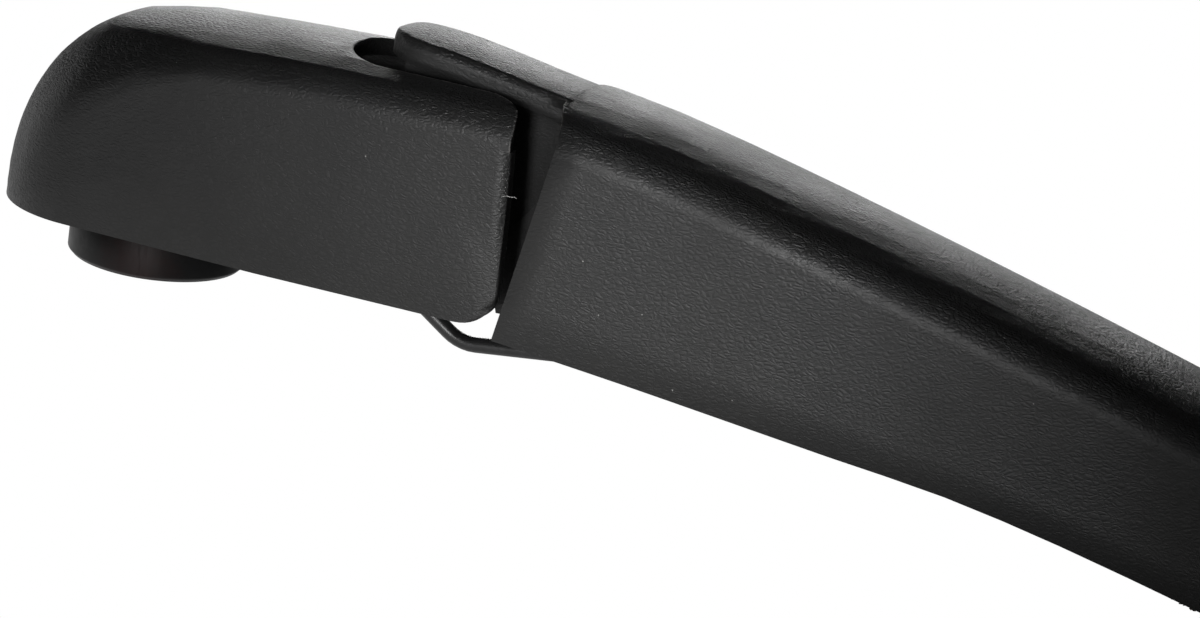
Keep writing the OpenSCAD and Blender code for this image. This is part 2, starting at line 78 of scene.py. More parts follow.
class Graph:
    """A node material under construction, with short calls for the nodes used here."""

    def __init__(self, name: str) -> None:
        """Makes an empty material with its shader and output.

        Args:
            name: the material's name.
        """
        self.material = bpy.data.materials.new(name)
        self.material.use_nodes = True
        self.tree = self.material.node_tree
        self.tree.nodes.clear()
        self.output = self.add("ShaderNodeOutputMaterial")
        self.shader = self.add("ShaderNodeBsdfPrincipled")
        self.join(self.shader.outputs["BSDF"], self.output.inputs["Surface"])
        coordinates = self.add("ShaderNodeTexCoord")
        self.place = coordinates.outputs["Object"]
        self.facing = coordinates.outputs["Normal"]

    def add(self, kind: str) -> bpy.types.Node:
        """Adds a node of the given kind."""
        return self.tree.nodes.new(kind)

    def join(self, source: bpy.types.NodeSocket, target: bpy.types.NodeSocket) -> None:
        """Links two sockets."""
        self.tree.links.new(source, target)

    def feed(self, socket: bpy.types.NodeSocket, value: object) -> None:
        """Links a socket or sets its value, whichever the value is."""
        if isinstance(value, bpy.types.NodeSocket):
            self.join(value, socket)
        elif value is not None:
            socket.default_value = value

    def math(self, operation: str, a: object, b: object = None, clamp: bool = False) -> bpy.types.NodeSocket:
        """Adds a Math node.

        Args:
            operation: Blender's name of the operation.
            a: first operand, a number or a socket.
            b: second operand.
            clamp: whether the result stays between 0 and 1.

        Returns:
            The result's socket.
        """
        node = self.add("ShaderNodeMath")
        node.operation = operation
        node.use_clamp = clamp
        self.feed(node.inputs[0], a)
        self.feed(node.inputs[1], b)
        return node.outputs[0]

    def noise(self, scale: float, detail: float = 2.0, rough: float = 0.5,
              place: object = None) -> bpy.types.NodeSocket:
        """Adds a noise texture.

        Args:
            scale: cells per metre.
            detail: octaves.
            rough: strength of the finer octaves.
            place: coordinates, or None for the object's own.

        Returns:
            The noise's value socket.
        """
        node = self.add("ShaderNodeTexNoise")
        self.join(place or self.place, node.inputs["Vector"])
        node.inputs["Scale"].default_value = scale
        node.inputs["Detail"].default_value = detail
        node.inputs["Roughness"].default_value = rough
        return node.outputs["Fac"]

    def cells(self, scale: float, feature: str = "F1", place: object = None) -> bpy.types.Node:
        """Adds a Voronoi texture and returns its node."""
        node = self.add("ShaderNodeTexVoronoi")
        node.feature = feature
        self.join(place or self.place, node.inputs["Vector"])
        node.inputs["Scale"].default_value = scale
        return node

    def stretched(self, x: float, y: float, z: float) -> bpy.types.NodeSocket:
        """Object coordinates multiplied along each axis."""
        node = self.add("ShaderNodeMapping")
        self.join(self.place, node.inputs["Vector"])
        node.inputs["Scale"].default_value = (x, y, z)
        return node.outputs["Vector"]

    def wrung(self, scale: float, amount: float, place: object = None) -> bpy.types.NodeSocket:
        """Coordinates drawn out of place by noise.

        Args:
            scale: noise cells per metre.
            amount: how far, in metres.
            place: coordinates, or None for the object's own.

        Returns:
            The coordinates' socket.
        """
        source = self.add("ShaderNodeTexNoise")
        place = place or self.place
        self.join(place, source.inputs["Vector"])
        source.inputs["Scale"].default_value = scale
        source.inputs["Detail"].default_value = 1.0
        centre = self.add("ShaderNodeVectorMath")
        centre.operation = "SUBTRACT"
        self.join(source.outputs["Color"], centre.inputs[0])
        centre.inputs[1].default_value = (0.5, 0.5, 0.5)
        grow = self.add("ShaderNodeVectorMath")
        grow.operation = "SCALE"
        self.join(centre.outputs[0], grow.inputs[0])
        grow.inputs["Scale"].default_value = amount
        total = self.add("ShaderNodeVectorMath")
        total.operation = "ADD"
        self.join(place, total.inputs[0])
        self.join(grow.outputs[0], total.inputs[1])
        return total.outputs[0]

    def ramp(self, value: bpy.types.NodeSocket, low: float, high: float, start: float = 0.0,
             end: float = 1.0) -> bpy.types.NodeSocket:
        """Maps a value from one range to another, held at the ends."""
        node = self.add("ShaderNodeMapRange")
        self.join(value, node.inputs["Value"])
        for name, number in (("From Min", low), ("From Max", high), ("To Min", start), ("To Max", end)):
            node.inputs[name].default_value = number
        return node.outputs["Result"]

    def blend(self, amount: object, a: object, b: object) -> bpy.types.NodeSocket:
        """Mixes two colours by an amount from 0 to 1."""
        node = self.add("ShaderNodeMix")
        node.data_type = "RGBA"
        self.feed(node.inputs["Factor"], amount)
        self.feed(node.inputs[6], a)
        self.feed(node.inputs[7], b)
        return node.outputs[2]

    def layers(self, base: bpy.types.NodeSocket, layers: Sequence[tuple]) -> bpy.types.NodeSocket:
        """Lays colours over a base.

        Args:
            base: the colour below them.
            layers: for each its mask, its most strength and its colour, the lowest first.

        Returns:
            The last colour's socket.
        """
        for mask, most, colour in layers:
            base = self.blend(self.math("MULTIPLY", mask, most), base, colour)
        return base

    def total(self, *terms: tuple) -> bpy.types.NodeSocket:
        """Adds up values, each given with its weight."""
        weighted = [self.math("MULTIPLY", value, weight) for value, weight in terms]
        result = weighted[0]
        for term in weighted[1:]:
            result = self.math("ADD", result, term)
        return result

    def bump(self, height: bpy.types.NodeSocket, distance: float, strength: float = 1.0,
             normal: bpy.types.NodeSocket = None) -> bpy.types.NodeSocket:
        """Adds a bump from a height between 0 and 1, with its full height in metres."""
        node = self.add("ShaderNodeBump")
        self.join(height, node.inputs["Height"])
        node.inputs["Distance"].default_value = distance
        node.inputs["Strength"].default_value = strength
        if normal is not None:
            self.join(normal, node.inputs["Normal"])
        return node.outputs["Normal"]

    def openness(self, reach: float) -> bpy.types.NodeSocket:
        """How open a surface lies, 0 deep in a gap and 1 in the open; it masks painted shade in gaps."""
        node = self.add("ShaderNodeAmbientOcclusion")
        node.samples = GAP_SAMPLES
        node.inputs["Distance"].default_value = reach
        return self.ramp(node.outputs["AO"], 0.15, 0.75)

    def edges(self, radius: float) -> bpy.types.NodeSocket:
        """How much a surface bends within a radius, 0 on flats and 1 on sharp edges."""
        bevel = self.add("ShaderNodeBevel")
        bevel.samples = EDGE_SAMPLES
        bevel.inputs["Radius"].default_value = radius
        plain = self.add("ShaderNodeNewGeometry")
        dot = self.add("ShaderNodeVectorMath")
        dot.operation = "DOT_PRODUCT"
        self.join(bevel.outputs["Normal"], dot.inputs[0])
        self.join(plain.outputs["Normal"], dot.inputs[1])
        return self.ramp(dot.outputs["Value"], 0.99, 0.8)


def grey(value: float, tint: Sequence[float] = (1.0, 1.0, 1.0)) -> tuple:
    """A grey colour with a slight tint, with its alpha."""
    return (value * tint[0], value * tint[1], value * tint[2], 1.0)


@dataclass(frozen=True)
class GrainedPlastic:
    """Black plastic moulded with a fine leather grain."""

    name: str = "grained_plastic"
    shade: float = 0.016
    cell: float = 2300.0
    depth: float = 0.11 * MM
    roughness: float = 0.38
    dust: float = 0.6
    side_depth: float = 0.28
    # The next two reaches set how far the painted edge highlights spread; the first also smooths the
    # roughness on edges.
    edge_reach: float = 0.6 * MM
    rim_highlight_reach: float = 0.3 * MM
    gap_reach: float = 12.0 * MM
    fold_reach: float = 0.6 * MM
    fold_scale: float = 1300.0
    fine_cell: float = 2.3
    wave_depth: float = 0.1 * MM
    cool: tuple = (1.0, 1.02, 1.06)
    warm: tuple = (1.04, 1.02, 0.96)
    # Painted shade deep in gaps, the painted highlight line on sharp rims, and real dust, in that order.
    gap_shade_colour: tuple = grey(0.001)
    rim_highlight_colour: tuple = grey(0.13, (1.04, 1.0, 0.95))
    dust_colour: tuple = grey(0.62, (1.0, 0.99, 0.96))

    def make(self) -> bpy.types.Material:
        """Builds the material.

        Returns:
            The finished material.
        """
        g = Graph(self.name)
        folded = g.wrung(self.fold_scale, self.fold_reach, g.stretched(0.55, 1.0, 1.0))
        wrinkles = g.cells(self.cell, "DISTANCE_TO_EDGE", folded).outputs["Distance"]
        pebble = g.ramp(wrinkles, 0.0, 0.34)
        fine = g.cells(self.cell * self.fine_cell, "DISTANCE_TO_EDGE", folded).outputs["Distance"]
        roll = g.noise(1100.0, 3.0, 0.6)
        edge = g.edges(self.edge_reach)
        free = g.openness(self.gap_reach)
        g.join(self.colour(g, pebble, edge, free), g.shader.inputs["Base Color"])
        g.join(self.polish(g, roll, edge, free), g.shader.inputs["Roughness"])
        height = g.total((pebble, 0.62), (g.ramp(fine, 0.0, 0.3), 0.2), (roll, 0.3))
        height = g.math("MULTIPLY", height, self.strength(g))
        waves = g.bump(g.noise(160.0, 2.0, 0.5), self.wave_depth, 0.35)
        g.join(g.bump(height, self.depth, 1.0, waves), g.shader.inputs["Normal"])
        return g.material

    def colour(self, g: Graph, pebble: bpy.types.NodeSocket, edge: bpy.types.NodeSocket,
               free: bpy.types.NodeSocket) -> bpy.types.NodeSocket:
        """The black: cloudy, darker in furrows, with painted shade in gaps, painted highlights on edges, a
        thin painted highlight line on sharp rims, and pale dust.

        Args:
            g: the material under construction.
            pebble: 1 on the grain's pebbles and 0 in its furrows.
            edge: 1 on edges.
            free: 1 in the open and 0 deep in a gap.

        Returns:
            The colour's socket.
        """
        cloudy = g.ramp(g.noise(45.0, 4.0, 0.6), 0.3, 0.75)
        base = g.blend(cloudy, grey(self.shade * 0.8, self.cool), grey(self.shade * 1.2, self.warm))
        furrow = g.math("SUBTRACT", 1.0, pebble)
        base = g.layers(base, (
            (furrow, 0.45, grey(self.shade * 0.4)),
            # painted highlight: paler on edges, where light catches them
            (edge, 0.3, grey(self.shade * 2.4)),
            # painted highlight: a thin pale line along sharp rims
            (g.edges(self.rim_highlight_reach), 0.8, self.rim_highlight_colour),
            (self.specks(g), self.dust, self.dust_colour)))
        # painted shade: near black deep in gaps
        return g.blend(free, self.gap_shade_colour, base)

    def polish(self, g: Graph, roll: bpy.types.NodeSocket, edge: bpy.types.NodeSocket,
               free: bpy.types.NodeSocket) -> bpy.types.NodeSocket:
        """The roughness: uneven where it is worn, smoother on edges and dull deep in a gap.

        Args:
            g: the material under construction.
            roll: the soft roll of the surface.
            edge: 1 on edges.
            free: 1 in the open and 0 deep in a gap.

        Returns:
            The roughness's socket.
        """
        worn = g.ramp(g.noise(70.0, 3.0, 0.6), 0.35, 0.7)
        deep = g.math("SUBTRACT", 1.0, free)
        uneven = g.total((worn, 0.1), (edge, -0.08), (roll, 0.12), (deep, 0.5))
        return g.math("ADD", uneven, self.roughness, True)

    def strength(self, g: Graph) -> bpy.types.NodeSocket:
        """How deep the grain is: full on top, and drawn flat on the sides by the mould's pull."""
        split = g.add("ShaderNodeSeparateXYZ")
        g.join(g.facing, split.inputs[0])
        return g.ramp(g.math("ABSOLUTE", split.outputs["Y"]), 0.55, 0.96, 1.0, self.side_depth)

    def specks(self, g: Graph) -> bpy.types.NodeSocket:
        """Scattered dust, coarse grains and fine ones, 1 on a grain and 0 off it."""
        found = []
        for scale, outer, inner, rare in ((420.0, 0.05, 0.028, 0.83), (950.0, 0.07, 0.03, 0.9)):
            grains = g.cells(scale)
            near = g.ramp(grains.outputs["Distance"], outer, inner)
            some = g.math("GREATER_THAN", grains.outputs["Color"], rare)
            found.append(g.math("MULTIPLY", near, some))
        return g.math("MAXIMUM", *found)


@dataclass(frozen=True)
class Spot:
    """A ragged patch of another colour round a point, in metres."""

    centre: tuple
    reach: float
    most: float
    colour: tuple


@dataclass(frozen=True)
class CastPaint:
    """Die-cast metal under semi-gloss black paint, scuffed where the spindle's parts rub it."""

    name: str = "cast_paint"
    shade: float = 0.007
    roughness: float = 0.42
    specular: float = 0.3
    edge_reach: float = 0.5 * MM
    orange_depth: float = 0.05 * MM
    rub_depth: float = 0.02 * MM
    rubbed: tuple = grey(0.07)
    worn: tuple = grey(0.06)
    scuff: Spot = Spot((-0.0082, -0.0052, 0.0015), 7.0 * MM, 0.8, grey(0.06))
    # a dark red-brown patch in the middle of the boss
    red_brown_patch: Spot = Spot((0.0022, -0.0096, 0.0015), 7.5 * MM, 0.75, (0.02, 0.0045, 0.004, 1.0))

    def make(self) -> bpy.types.Material:
        """Builds the material.

        Returns:
            The finished material.
        """
        g = Graph(self.name)
        orange = g.noise(900.0, 3.0, 0.55)
        cloudy = g.ramp(g.noise(90.0, 4.0, 0.6), 0.35, 0.7)
        rub = g.ramp(g.noise(260.0, 5.0, 0.7, g.stretched(1.0, 1.0, 0.12)), 0.56, 0.72)
        base = g.blend(cloudy, grey(self.shade), grey(self.shade * 1.8, (1.0, 1.0, 1.05)))
        base = g.layers(base, (
            (rub, 0.35, self.rubbed),
            (self.patch(g, self.scuff), self.scuff.most, self.scuff.colour),
            (g.edges(self.edge_reach), 0.3, self.worn),
            (self.patch(g, self.red_brown_patch), self.red_brown_patch.most, self.red_brown_patch.colour)))
        g.join(base, g.shader.inputs["Base Color"])
        g.shader.inputs["Specular IOR Level"].default_value = self.specular
        rough = g.total((cloudy, 0.12), (rub, 0.25))
        g.join(g.math("ADD", rough, self.roughness), g.shader.inputs["Roughness"])
        relief = g.bump(orange, self.orange_depth, 0.6, g.bump(rub, self.rub_depth, 0.5))
        g.join(relief, g.shader.inputs["Normal"])
        return g.material

    def patch(self, g: Graph, spot: Spot) -> bpy.types.NodeSocket:
        """Where a spot lies, 1 in its middle and 0 outside it."""
        away = g.add("ShaderNodeVectorMath")
        away.operation = "DISTANCE"
        g.join(g.place, away.inputs[0])
        away.inputs[1].default_value = spot.centre
        ragged = g.math("MULTIPLY", g.noise(700.0, 4.0, 0.7), spot.reach * 0.8)
        spread = g.math("ADD", away.outputs["Value"], ragged)
        return g.ramp(spread, spot.reach * 1.15, spot.reach * 0.55)


@dataclass(frozen=True)
class TurnedMetal:
    """Plain drawn or turned metal with fine marks round it."""

    name: str = "zinc_steel"
    colour: tuple = (0.52, 0.52, 0.5, 1.0)
    dull: tuple = (0.3, 0.3, 0.29, 1.0)
    roughness: float = 0.2
    metallic: float = 1.0
    pits: float = 0.0
    pit_colour: tuple = grey(0.05)
    mark_depth: float = 0.01 * MM

    def make(self) -> bpy.types.Material:
        """Builds the material.

        Returns:
            The finished material.
        """
        g = Graph(self.name)
        marks = g.noise(2600.0, 3.0, 0.6, g.stretched(1.0, 0.15, 1.0))
        cloudy = g.ramp(g.noise(300.0, 4.0, 0.65), 0.35, 0.7)
        base = g.blend(cloudy, self.colour, self.dull)
        if self.pits:
            holes = g.ramp(g.cells(5200.0).outputs["Distance"], 0.32, 0.12)
            base = g.layers(base, ((holes, self.pits, self.pit_colour),))
        g.join(base, g.shader.inputs["Base Color"])
        g.shader.inputs["Metallic"].default_value = self.metallic
        rough = g.total((cloudy, 0.15), (marks, 0.2))
        g.join(g.math("ADD", rough, self.roughness), g.shader.inputs["Roughness"])
        g.join(g.bump(marks, self.mark_depth, 0.5), g.shader.inputs["Normal"])
        return g.material


@dataclass(frozen=True)
class CoatedWire:
    """Round steel wire under a black dip coat, thin and slightly shiny."""

    name: str = "coated_wire"
    shade: float = 0.012
    roughness: float = 0.28
    rubbed: tuple = grey(0.11)
    coat_depth: float = 0.03 * MM

    def make(self) -> bpy.types.Material:
        """Builds the material.

        Returns:
            The finished material.
        """
        g = Graph(self.name)
        coat = g.noise(1400.0, 3.0, 0.6)
        drips = g.ramp(g.noise(330.0, 4.0, 0.6), 0.4, 0.75)
        base = g.blend(drips, grey(self.shade), grey(self.shade * 2.2, (1.0, 1.0, 1.04)))
        bare = g.ramp(g.noise(1900.0, 4.0, 0.7), 0.66, 0.74)
        base = g.layers(base, ((bare, 0.5, self.rubbed),))
        g.join(base, g.shader.inputs["Base Color"])
        g.join(g.math("ADD", g.total((drips, 0.2)), self.roughness), g.shader.inputs["Roughness"])
        g.join(g.bump(coat, self.coat_depth, 0.6), g.shader.inputs["Normal"])
        return g.material


@dataclass(frozen=True)
class DustFinish:
    """Pale lint and moulding dust."""

    name: str = "dust"
    colour: tuple = (0.6, 0.59, 0.57, 1.0)
    dark: float = 0.3
    roughness: float = 0.8
    depth: float = 0.03 * MM

    def make(self) -> bpy.types.Material:
        """Builds the material.

        Returns:
            The finished material.
        """
        g = Graph(self.name)
        mottled = g.blend(g.noise(2500.0, 3.0), self.colour, grey(self.dark))
        g.join(mottled, g.shader.inputs["Base Color"])
        g.shader.inputs["Roughness"].default_value = self.roughness
        g.join(g.bump(g.noise(6000.0, 2.0), self.depth), g.shader.inputs["Normal"])
        return g.material


def wrap(name: str, bm: bmesh.types.BMesh) -> bpy.types.Object:
    """Turns a finished bmesh into an object at the origin.

    Args:
        name: the piece's name.
        bm: its shape, freed here.

    Returns:
        The new object, linked to the scene.
    """
    mesh = bpy.data.meshes.new(name)
    bm.to_mesh(mesh)
    bm.free()
    piece = bpy.data.objects.new(name, mesh)
    bpy.context.scene.collection.objects.link(piece)
    return piece


def merged_copy(node: str) -> bmesh.types.BMesh:
    """A CAD node's shape with its loose triangles joined at their corners.

    Args:
        node: the CAD node's name.

    Returns:
        A bmesh whose corners are shared.
    """
    bm = bmesh.new()
    bm.from_mesh(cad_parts[node].data)
    bmesh.ops.remove_doubles(bm, verts=bm.verts, dist=MERGE_GAP)
    return bm


def rounded(bm: bmesh.types.BMesh, angle: float = 28.0, reach: float = 0.16 * MM) -> None:
    """Halves every edge and lifts the new points onto the curve that its surroundings describe.

    Args:
        bm: a triangle shape with shared corners, changed here.
        angle: edges sharper than this, in degrees, are rounded along their run only.
        reach: the furthest a new point may move, in metres.
    """
    limit = math.radians(angle)
    bm.normal_update()
    lifts = {}
    for edge in bm.edges:
        lift = arc_lift(edge, limit)
        if lift is not None:
            middle = (edge.verts[0].co + edge.verts[1].co) / 2
            lifts[point_key(middle)] = lift.normalized() * reach if lift.length > reach else lift
    bmesh.ops.subdivide_edges(bm, edges=bm.edges, cuts=1, use_grid_fill=True)
    for vert in bm.verts:
        lift = lifts.get(point_key(vert.co))
        if lift is not None:
            vert.co += lift
    bmesh.ops.triangulate(bm, faces=bm.faces)


def arc_lift(edge: bmesh.types.BMEdge, limit: float) -> Vector | None:
    """How far an edge's middle lies from the curve through its ends.

    Args:
        edge: the edge.
        limit: the sharpest edge, in radians, that counts as smooth.

    Returns:
        The way to the curve, or None where the edge lies flat or its ends bend opposite ways.
    """
    if len(edge.link_faces) != 2 or edge.calc_face_angle(0.0) < FLAT_BEND:
        return None
    span = edge.verts[1].co - edge.verts[0].co
    if edge.calc_face_angle(0.0) >= limit:
        return sum((onward(vert, edge, limit) for vert in edge.verts), Vector()) * span.length / 8.0
    ends = [smooth_normal(vert, edge.link_faces[0], limit) for vert in edge.verts]
    near, far = span.dot(ends[0]), span.dot(ends[1])
    if near * far >= 0.0:
        return None
    even = min(abs(near), abs(far)) / max(abs(near), abs(far))
    return -(near * ends[0] - far * ends[1]) / 8.0 * even


def onward(vert: bmesh.types.BMVert, edge: bmesh.types.BMEdge, limit: float) -> Vector:
    """The direction of a sharp edge at one end, inwards, as a curve through the sharp edge before it.

    Args:
        vert: the end.
        edge: the sharp edge.
        limit: the sharpest edge, in radians, that counts as smooth.

    Returns:
        A unit direction from the end into the edge.
    """
    own = (edge.other_vert(vert).co - vert.co).normalized()
    others = [item for item in vert.link_edges if item != edge and item.calc_face_angle(0.0) >= limit]
    if len(others) != 1:
        return own
    before = (vert.co - others[0].other_vert(vert).co).normalized()
    return own if own.angle(before) > CORNER_TURN else (own + before).normalized()


def point_key(place: Vector) -> tuple:
    """A place rounded to a tenth of a micron, to find a point again."""
    return tuple(round(value * 1e7) for value in place)


def smooth_normal(vert: bmesh.types.BMVert, start: bmesh.types.BMFace, limit: float) -> Vector:
    """The normal at a corner over the faces that join smoothly to one of its faces.

    Args:
        vert: the corner.
        start: one face at the corner.
        limit: the sharpest edge, in radians, that still counts as smooth.

    Returns:
        A unit normal weighted by the faces' angles at the corner.
    """
    found = {start}
    stack = [start]
    total = Vector()
    while stack:
        face = stack.pop()
        loop = next(item for item in face.loops if item.vert == vert)
        total += face.normal * loop.calc_angle()
        for edge in (loop.edge, loop.link_loop_prev.edge):
            if len(edge.link_faces) == 2 and edge.calc_face_angle(0.0) < limit:
                for other in edge.link_faces:
                    if other not in found:
                        found.add(other)
                        stack.append(other)
    return total.normalized()


def tube(bm: bmesh.types.BMesh, points: Sequence[Vector], radius: float, sides: int = 6,
         taper: float = 0.45) -> None:
    """Adds a thin thread with tapered ends along points.

    Args:
        bm: the shape that gets it.
        points: its middle line.
        radius: its thickest radius.
        sides: faces round it.
        taper: share of the radius that its ends keep.
    """
    rings = []
    for index, point in enumerate(points):
        ahead = points[min(index + 1, len(points) - 1)] - points[max(index - 1, 0)]
        turn = ahead.to_track_quat("Z", "Y").to_matrix().to_4x4()
        here = taper if index in (0, len(points) - 1) else 1.0
        place = Matrix.Translation(point) @ turn @ Matrix.Diagonal((here, here, 1.0, 1.0))
        circle = bmesh.ops.create_circle(bm, cap_ends=False, segments=sides, radius=radius, matrix=place)
        rings.append(circle["verts"])
    for one, two in zip(rings, rings[1:]):
        for side in range(sides):
            after = (side + 1) % sides
            bm.faces.new((one[side], one[after], two[after], two[side]))
    for ring in (rings[0], rings[-1]):
        bm.faces.new(ring)
    bmesh.ops.recalc_face_normals(bm, faces=bm.faces)


def chip(bm: bmesh.types.BMesh, place: Vector, size: Vector, dice: random.Random, points: int = 11) -> None:
    """Adds one jagged crumb of torn plastic.

    Args:
        bm: the shape that gets it.
        place: its middle.
        size: how far it reaches along each axis.
        dice: the source of its shape.
        points: corners thrown, of which the outer ones stay.
    """
    corners = []
    for _ in range(points):
        way = Vector((dice.gauss(0, 1), dice.gauss(0, 1), dice.gauss(0, 1))).normalized()
        out = Vector(a * b for a, b in zip(way, size)) * dice.uniform(0.75, 1.15)
        corners.append(bm.verts.new(place + out))
    hull = bmesh.ops.convex_hull(bm, input=corners)
    inner = [item for item in hull["geom_interior"] if isinstance(item, bmesh.types.BMVert)]
    bmesh.ops.delete(bm, geom=inner, context="VERTS")


def shade(piece: bpy.types.Object, angle: float = 32.0) -> None:
    """Shades a piece smoothly except across edges sharper than an angle in degrees."""
    mesh = piece.data
    mesh.polygons.foreach_set("use_smooth", [True] * len(mesh.polygons))
    mesh.set_sharp_from_angle(angle=math.radians(angle))
    mesh.update()


def settle(piece: bpy.types.Object, weight: int = 80) -> None:
    """Lets the broad faces of a piece set the shading at their borders, so that flats look flat."""
    weights = piece.modifiers.new("broad_faces", "WEIGHTED_NORMAL")
    weights.mode = "FACE_AREA"
    weights.weight = weight
    weights.keep_sharp = True


def dress(piece: bpy.types.Object, material: bpy.types.Material, body: Body,
          node: str = "") -> None:
    """Gives a piece its finish, body and the node it stands for, and reports it.

    Args:
        piece: the finished object.
        material: its finish.
        body: the body it rides on.
        node: the CAD node it replaces, if any.
    """
    piece.data.materials.clear()
    piece.data.materials.append(material)
    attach(piece, body.value)
    if node:
        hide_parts(node)
    LOG.info("%s: %d faces on %s", piece.name, len(piece.data.polygons), body.value)


def refinish(node: str, material: bpy.types.Material) -> None:
    """Gives a CAD node that stays a better finish."""
    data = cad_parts[node].data
    data.materials.clear()
    data.materials.append(material)
    LOG.info("%s: dressed", node)


@dataclass
class MouldedShell:
    """A grained plastic shell that stands for a CAD node, rounded between the node's facets."""

    node: str
    piece: str
    body: Body
    slot: Slot
    finish: GrainedPlastic

    def form(self, bm: bmesh.types.BMesh) -> None:
        """Changes the rounded shape before it is dressed; a plain shell stays as it is."""

    def build(self) -> None:
        """Builds and dresses the shell."""
        bm = merged_copy(self.node)
        rounded(bm)
        self.form(bm)
        piece = wrap(self.piece, bm)
        shade(piece)
        settle(piece)
        dress(piece, self.finish.make(), self.body, self.node)


@dataclass
class HeadCover(MouldedShell):
    """The flip-up cover over the head, whose lower rear corner leans back."""

    node: str = "head_cover"
    piece: str = "cover_shell"
    body: Body = Body.COVER
    slot: Slot = Slot.COVER
    finish: GrainedPlastic = GrainedPlastic("cover_grain")
    lean: float = 0.8 * MM
    lean_from: Vector = field(default_factory=lambda: mm(33.5, 0.0, 24.0))
    lean_to: Vector = field(default_factory=lambda: mm(44.6, 0.0, 5.0))

    def form(self, bm: bmesh.types.BMesh) -> None:
        """Leans the lower rear corner back."""
        run = self.lean_to - self.lean_from
        for vert in bm.verts:
            along = min(max((vert.co.x - self.lean_from.x) / run.x, 0.0), 1.0)
            down = min(max((vert.co.z - self.lean_from.z) / run.z, 0.0), 1.0)
            vert.co.x += self.lean * along ** 2 * down


@dataclass
class ArmBeam(MouldedShell):
    """The moulded beam with its tongue, cheeks and ribs."""

    node: str = "arm_beam"
    piece: str = "beam_shell"
    body: Body = Body.ARM
    slot: Slot = Slot.ARM
    finish: GrainedPlastic = GrainedPlastic("beam_grain")


@dataclass
class Scraps:
    """The torn gate under the arm's rim, moulding crumbs along the cover's rear edge and a fibre there."""

    gate: Sequence[Vector] = field(default_factory=lambda: (mm(120.9, -9.0, -6.1), mm(123.9, -9.0, -6.9)))
    gate_chips: int = 9
    gate_size: Vector = field(default_factory=lambda: mm(0.26, 0.16, 0.13))
    torn: DustFinish = DustFinish("torn_plastic", (0.16, 0.105, 0.07, 1.0), 0.03)
    edge: Sequence[Vector] = field(default_factory=lambda: (mm(44.7, -12.36, 23.4), mm(45.2, -12.36, 8.4)))
    crumbs: int = 46
    crumb: float = 0.055 * MM
    fibre: Sequence[Vector] = field(default_factory=lambda: (
        mm(44.5, -12.4, 19.7), mm(44.75, -12.5, 19.95), mm(45.1, -12.48, 20.0),
        mm(45.6, -12.42, 19.96), mm(45.95, -12.46, 20.06), mm(46.15, -12.35, 19.9)))
    fibre_radius: float = 0.045 * MM
    dust: DustFinish = DustFinish()
    seed: int = 11

    def torn_gate(self, dice: random.Random) -> None:
        """Builds the row of torn plastic where the mould's gate was broken off."""
        bm = bmesh.new()
        for step in range(self.gate_chips):
            at = (step + dice.uniform(-0.3, 0.3)) / (self.gate_chips - 1)
            place = self.gate[0].lerp(self.gate[1], at)
            size = self.gate_size * dice.uniform(0.7, 1.2)
            chip(bm, place + mm(0.0, dice.uniform(-0.1, 0.25), dice.uniform(-0.06, 0.08)), size, dice)
        dress(wrap("torn_gate", bm), self.torn.make(), Body.ARM)

    def edge_crumbs(self, dice: random.Random) -> None:
        """Builds the crumbs, thicker towards the top of the edge, and the fibre caught there."""
        bm = bmesh.new()
        for _ in range(self.crumbs):
            place = self.edge[0].lerp(self.edge[1], dice.random() ** 1.5)
            place += mm(dice.uniform(-0.7, 0.0), 0.0, dice.uniform(-0.4, 0.4))
            chip(bm, place, Vector((1.0, 0.7, 1.0)) * self.crumb * dice.uniform(0.4, 1.3), dice)
        tube(bm, self.fibre, self.fibre_radius)
        dress(wrap("edge_crumbs", bm), self.dust.make(), Body.COVER)

    def build(self) -> None:
        """Builds and dresses the scraps."""
        dice = random.Random(self.seed)
        self.torn_gate(dice)
        self.edge_crumbs(dice)


@dataclass
class HeadCasting:
    """The cast head with its boss, web and lug, and the bush in the lug."""

    finish: CastPaint = CastPaint()
    bush: TurnedMetal = TurnedMetal(
        "sintered_bronze", (0.5, 0.33, 0.14, 1.0), (0.25, 0.15, 0.07, 1.0), 0.3, 1.0, 0.5)
    edge: float = 0.35 * MM
    segments: int = 3
    flat: float = 0.5
    sharp: float = 40.0

    def build(self) -> None:
        """Builds and dresses the casting and its bush."""
        bm = merged_copy("head_casting")
        bmesh.ops.dissolve_limit(bm, angle_limit=math.radians(self.flat), verts=bm.verts, edges=bm.edges)
        piece = wrap("casting_body", bm)
        bevel = piece.modifiers.new("cast_edges", "BEVEL")
        bevel.width = self.edge
        bevel.segments = self.segments
        bevel.limit_method = "ANGLE"
        bevel.angle_limit = math.radians(self.sharp)
        shade(piece)
        dress(piece, self.finish.make(), Body.HEAD, "head_casting")
        refinish("hinge_bush", self.bush.make())


@dataclass
class Pins:
    """The steel pins and the clip."""

    finish: TurnedMetal = TurnedMetal()
    nodes: Sequence[str] = ("hinge_pin", "pin_clip", "link_pin", "spring_anchor_pin")

    def build(self) -> None:
        """Dresses the pins' own CAD nodes."""
        material = self.finish.make()
        for name in self.nodes:
            refinish(name, material)


@dataclass
class SpringAndLink:
    """The coil spring and the wire link that it pulls on."""

    spring_finish: CoatedWire = CoatedWire("spring_coat", 0.02, 0.34)
    link_finish: CoatedWire = CoatedWire()
    smooth: float = 60.0

    def build(self) -> None:
        """Dresses both wires."""
        for node, name, finish, body, slot in (
                ("tension_spring", "coil_spring", self.spring_finish, Body.ARM, Slot.SPRING),
                ("hook_link", "wire_link", self.link_finish, Body.LINK, Slot.WIRE)):
            piece = wrap(name, merged_copy(node))
            shade(piece, self.smooth)
            dress(piece, finish.make(), body, node)


